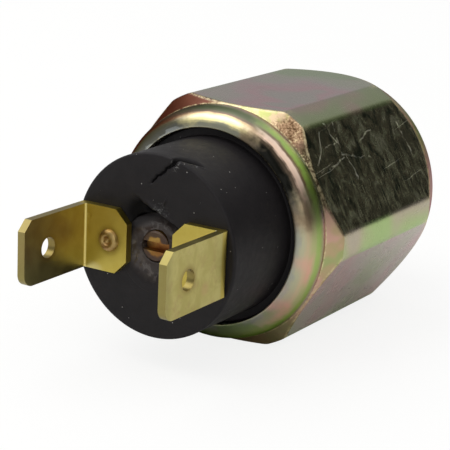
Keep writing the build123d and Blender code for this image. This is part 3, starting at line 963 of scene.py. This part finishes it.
def terminal_brass():
    """Tab brass: pale right blade, left blade painted browner and darker as for a darker
    reflection, olive feet with a dark ring of painted shade at the rivet.
    """
    s = Shader("terminal_brass")
    look = brass(s, (0.61, 0.54, 0.2), (0.5, 0.43, 0.135), (0.44, 0.27, 0.12), 0.3)
    left = s.between(s.across, 1.0, -1.0)
    right = s.rest_of(left)
    blade = s.between(s.y, -37.0, -37.4)
    foot = s.rest_of(blade)
    inward = s.math("ABSOLUTE", s.across)

    # painted reflection: the left blade is turned browner and darker, more olive towards its lower
    # edge
    clouds = s.noise(0.42, 3.0, 0.6, distortion=0.6)
    brown = s.mix(clouds, (0.36, 0.23, 0.1), (0.56, 0.48, 0.21))
    brown = s.tint(brown, (0.36, 0.34, 0.13), s.between(s.over, 0.2, -2.4), 0.6)
    colour = s.tint(look["base_color"], brown, s.times(left, blade), 0.85)
    olive = s.mix(s.noise(0.7, 3.0), (0.5, 0.37, 0.06), (0.66, 0.54, 0.12))
    colour = s.tint(colour, olive, foot, 0.9)

    foot_map = s.map_of(inward, 0.0, s.over)
    # painted shade: a dark ring on the foot round the rivet
    ring = s.times(s.spot((4.6, 0.0, 0.0), 1.75, foot_map), foot)
    colour = s.tint(colour, (0.16, 0.08, 0.025), ring, 0.85)
    low_edge = s.map_of(s.times(inward, 0.6), 0.0, s.over)
    pale = s.times(s.spot((3.8, 0.0, -3.0), 0.8, low_edge), s.times(foot, left))
    colour = s.tint(colour, (0.8, 0.74, 0.42), pale, 0.35)

    blade_map = s.map_of(0.0, s.y, s.over)
    # painted shade: a dark ring round each blade's hole
    painted_hole_shade = s.times(s.spot((0.0, -42.7, 0.0), 1.65, blade_map), blade)
    colour = s.tint(colour, (0.26, 0.16, 0.04), painted_hole_shade, 0.95)
    blush = s.times(s.spot((8.18, -39.9, -1.2), 0.9), right)
    colour = s.tint(colour, (0.62, 0.38, 0.2), blush, 0.35)
    worn_tip = s.times(s.between(s.y, -44.9, -46.0), right)
    colour = s.tint(colour, (0.38, 0.34, 0.13), worn_tip, 0.5)
    cut_edge = s.times(s.between(s.math("ABSOLUTE", s.nx), 0.75, 0.55), blade)
    colour = s.tint(colour, (0.26, 0.21, 0.07), cut_edge, 0.65)
    # painted highlight: a bright line along each tab's bend
    crease = s.spot((7.33, -37.05, 0.0), 0.16, s.map_of(inward, s.y))
    look["base_color"] = s.tint(colour, (0.98, 0.9, 0.55), crease, 0.9)
    dent = s.times(s.spot((6.9, 0.0, 2.1), 0.35, foot_map), foot)
    look["normal"] = s.bump(s.times(dent, -1.0), 0.05, look["normal"])
    return s.finish(metallic=1.0, **look)


def screw_brass():
    """Amber brass of the adjusting screw, with resin smeared over the rim of its head and painted
    shade in its slot.
    """
    s = Shader("screw_brass")
    look = brass(s, (0.5, 0.31, 0.085), (0.28, 0.13, 0.04), (0.2, 0.07, 0.025), 0.5, 0.3)
    unevenness = s.math("SUBTRACT", s.noise(1.3, 3.0), 0.5)
    ragged = s.plus(s.radius(), s.times(unevenness, 1.1))
    smear = s.times(s.between(ragged, 0.78, 1.1), s.between(s.y, -35.7, -35.85))
    colour = s.tint(look["base_color"], (0.05, 0.03, 0.024), smear, 0.92)
    painted_slot_shade = s.between(s.y, -35.75, -35.3)
    look["base_color"] = s.tint(colour, (0.3, 0.11, 0.04), painted_slot_shade, 0.45)
    return s.finish(metallic=s.rest_of(s.times(smear, 0.6)), **look)


def sealing_resin():
    """Smoky potting resin: brown above the screw, hazy with pale wisps below, dull at its rim."""
    s = Shader("sealing_resin")
    cloud = s.noise(0.55, 3.0, 0.5, distortion=0.6)
    colour = s.ramp(cloud, [
        (0.36, (0.018, 0.012, 0.012)), (0.52, (0.036, 0.027, 0.023)), (0.68, (0.075, 0.062, 0.052)),
    ])
    colour = s.tint(colour, (0.13, 0.11, 0.1), s.spot((-1.9, -36.0, -1.7), 1.5), 0.4)
    from_pit = s.map_of(s.across, s.plus(s.over, pit_offset))
    rim = s.between(s.vector("LENGTH", from_pit, output="Value"), 2.2, 3.3)
    colour = s.tint(colour, (0.03, 0.017, 0.012), s.between(s.over, 0.0, 1.4), 0.8)
    colour = s.tint(colour, (0.017, 0.015, 0.016), rim, 0.95)
    wisps = s.between(s.noise(1.4, 2.0, 0.5, distortion=1.2), 0.54, 0.66)
    colour = s.tint(colour, (0.17, 0.15, 0.14), s.times(wisps, s.rest_of(rim)), 0.35)
    normal = s.bump(s.noise(1.2, 2.0), 0.1, strength=0.5)
    rough = s.plus(0.3, s.times(rim, 0.2))
    gloss = s.mix(rim, (0.32, 0.32, 0.32), (0.18, 0.18, 0.18))
    return s.finish(base_color=colour, roughness=rough, normal=normal, specular_ior_level=gloss)


def grey_metal(name, shade, roughness, grain_size):
    """Turned or drawn steel and silver inside the switch."""
    s = Shader(name)
    cloud = s.noise(0.8, 3.0)
    low = tuple(0.8 * c for c in shade)
    colour = s.mix(cloud, low, shade)
    normal = s.bump(s.noise(grain_size, 2.0, 0.6, stretch=(1.0, 0.2, 1.0)), 0.004)
    rough = s.plus(roughness, s.times(cloud, 0.12))
    return s.finish(base_color=colour, metallic=1.0, roughness=rough, normal=normal)


def seal_rubber():
    """Matt nitrile rubber with bloom."""
    s = Shader("seal_rubber")
    colour = s.mix(s.noise(1.3, 4.0), (0.012, 0.012, 0.012), (0.035, 0.034, 0.032))
    normal = s.bump(s.noise(9.0, 3.0), 0.02, strength=0.5)
    return s.finish(base_color=colour, roughness=0.75, normal=normal)


slot_materials = {
    "plated_steel": Plating().material(),
    "black_plastic": black_plastic(),
    "resin": sealing_resin(),
    "terminal_brass": terminal_brass(),
    "rivet_brass": plain_brass(
        "rivet_brass", (0.52, 0.38, 0.15), (0.34, 0.22, 0.08), (0.26, 0.11, 0.05), 0.6
    ),
    "screw_brass": screw_brass(),
    "contact_brass": plain_brass(
        "contact_brass", (0.66, 0.54, 0.26), (0.56, 0.44, 0.2), (0.34, 0.2, 0.08), 0.2
    ),
    "contact_silver": grey_metal("contact_silver", (0.86, 0.85, 0.82), 0.15, 8.0),
    "plain_steel": grey_metal("plain_steel", (0.58, 0.57, 0.56), 0.28, 10.0),
    "spring_steel": grey_metal("spring_steel", (0.45, 0.45, 0.46), 0.25, 12.0),
    "seal_rubber": seal_rubber(),
}
for piece, node, slot in new_pieces:
    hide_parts(node)
    piece.data.materials.append(slot_materials[slot])
for subpart in frame["record"]["subparts"]:
    node = frame["nodes"][subpart["node"]]
    node.data.materials.clear()
    node.data.materials.append(slot_materials[subpart["material_slot"]])

# Stamped and turned CAD pieces get their corners broken by a fine bevel.
for name in ("terminal_right", "terminal_left", "adjusting_screw"):
    node = frame["nodes"][name]
    flat = node.modifiers.new("merge_flats", "DECIMATE")
    flat.decimate_type = "DISSOLVE"
    flat.angle_limit = math.radians(1)
    bevel = node.modifiers.new("broken_edges", "BEVEL")
    bevel.width = 0.11 * MM
    bevel.segments = 3
    bevel.limit_method = "ANGLE"
    bevel.angle_limit = math.radians(35)
    bevel.harden_normals = True

# ---- Stage: pale floor, soft studio light, camera ----


def build_floor():
    """A wide pale floor; its shadow is kept faint for the camera."""
    size, lift = 6.0, 0.8
    level = body_low[2] * MM
    corners = [(-size, -size), (size, -size), (size, size), (-size, size)]
    points = [(x, y, level) for x, y in corners]
    floor = make_mesh("floor", points, [(0, 1, 2, 3)], smooth=False)
    s = Shader("floor_paper")
    colour = s.mix(s.noise(0.05, 3.0), (0.84, 0.84, 0.83), (0.88, 0.88, 0.87))
    s.finish(base_color=colour, roughness=0.9)
    paper = s.surface.outputs[0]
    glow = s.node("Emission", {0: (1.0, 1.0, 0.995), 1: 1.06}).outputs[0]
    lifted = s.node("MixShader", {0: lift, 1: paper, 2: glow}).outputs[0]
    to_camera = s.node("LightPath").outputs["Is Camera Ray"]
    shown = s.node("MixShader", {0: to_camera, 1: paper, 2: lifted}).outputs[0]
    s.tree.links.new(shown, s.tree.nodes["Material Output"].inputs["Surface"])
    floor.data.materials.append(s.material)


def build_world():
    """White for the camera; in reflections, a bright ceiling over a band darker on the right."""
    world = bpy.data.worlds.new("studio")
    bpy.context.scene.world = world
    world.use_nodes = True
    g = Graph(world.node_tree)
    g.tree.nodes.clear()
    direction = g.node("TexCoord").outputs["Generated"]
    sideways, _, height = g.node("SeparateXYZ", {0: direction}).outputs
    ceiling = g.ramp(height, [(0.0, 0.4), (0.32, 0.36), (0.55, 0.46), (0.8, 0.85)])
    dark = g.times(g.between(sideways, 0.0, 0.38), g.between(height, 0.66, 0.46))
    shade = g.ramp(dark, [(0.0, 1.0), (1.0, 0.1)])
    seen = g.mix(1.0, ceiling, shade, "MULTIPLY")
    reflected = g.node("Background", {0: seen, 1: 1.0}).outputs[0]
    white = g.node("Background", {0: (0.93, 0.93, 0.92), 1: 1.0}).outputs[0]
    to_camera = g.node("LightPath").outputs["Is Camera Ray"]
    mixed = g.node("MixShader", {0: to_camera, 1: reflected, 2: white}).outputs[0]
    g.node("OutputWorld", {0: mixed})


def soft_light(name, place, target, size, power):
    """A square area light aimed at a point."""
    lamp = bpy.data.lights.new(name, "AREA")
    lamp.size = size
    lamp.energy = power
    light = bpy.data.objects.new(name, lamp)
    bpy.context.scene.collection.objects.link(light)
    light.location = place
    aim = Vector(target) - Vector(place)
    light.rotation_mode = "QUATERNION"
    light.rotation_quaternion = aim.to_track_quat("-Z", "Y")


def build_camera():
    """The camera at the three-quarter view of the terminals, a little above the switch."""
    azimuth, elevation = math.radians(31.025), math.radians(16.577)
    roll = math.radians(-4.424)
    place = Vector((82.84, -161.32, 47.33)) * MM
    back = Vector((
        math.sin(azimuth) * math.cos(elevation),
        -math.cos(azimuth) * math.cos(elevation),
        math.sin(elevation),
    ))
    lens = bpy.data.cameras.new("camera")
    lens.sensor_width = 36.0
    lens.lens = 134.26
    lens.clip_start = 0.01
    lens.clip_end = 20.0
    camera = bpy.data.objects.new("camera", lens)
    bpy.context.scene.collection.objects.link(camera)
    level = back.to_track_quat("Z", "Y")
    turn = Matrix.Rotation(-roll, 4, "Z")
    camera.matrix_world = Matrix.Translation(place) @ level.to_matrix().to_4x4() @ turn
    bpy.context.scene.camera = camera


build_floor()
build_world()
centre = (0.0, -0.018, 0.0)
soft_light("ceiling_box", (-0.29, -0.17, 0.5), centre, 0.56, 1.4)
soft_light("front_box", (0.35, -0.55, 0.25), centre, 0.3, 0.6)
build_camera()
bpy.context.scene.view_settings.view_transform = "Standard"
